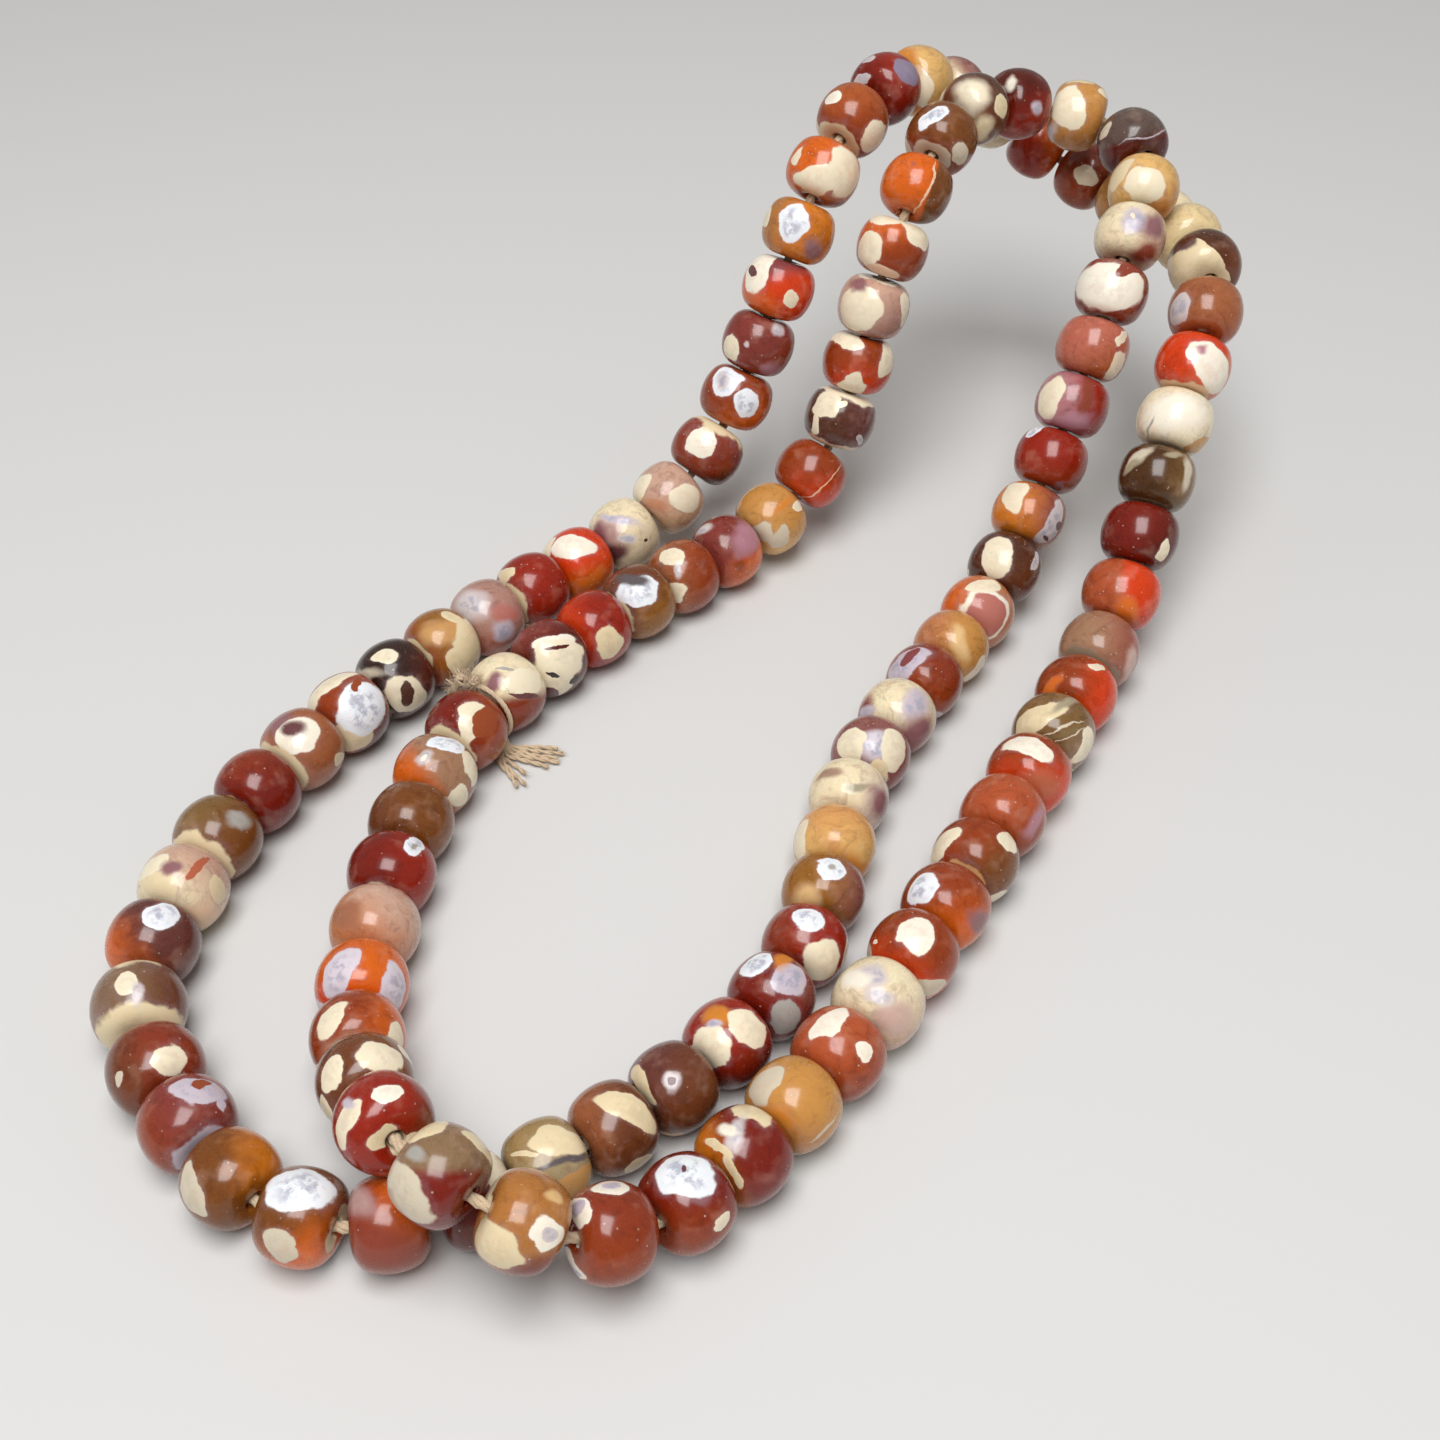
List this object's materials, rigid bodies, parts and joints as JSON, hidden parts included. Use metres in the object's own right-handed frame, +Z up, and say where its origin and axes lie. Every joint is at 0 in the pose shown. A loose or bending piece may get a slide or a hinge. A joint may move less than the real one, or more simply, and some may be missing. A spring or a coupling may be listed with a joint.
{
  "type": "dzi bead necklace",
  "caption": "Long loop of round etched agate beads on a cotton thread, draped in two turns, with a knot and cut ends between two beads.",
  "frame": {"origin": "the underside of the middle bead of the second turn, where the draped end hangs on its rest", "axes": "+Z up, +Y along the necklace from its lying end to its draped end, +X to the right"},
  "size_m": [0.1454, 0.1854, 0.0594],
  "materials": {
    "agate": "polished, etched with opaque white patches and rings",
    "cotton": "undyed twisted cotton, frayed where cut"
  },
  "bodies": {
    "root": {"beads_first_turn": "agate", "beads_second_turn": "agate", "thread": "cotton", "knot_tuft": "cotton"}
  },
  "joints": []
}
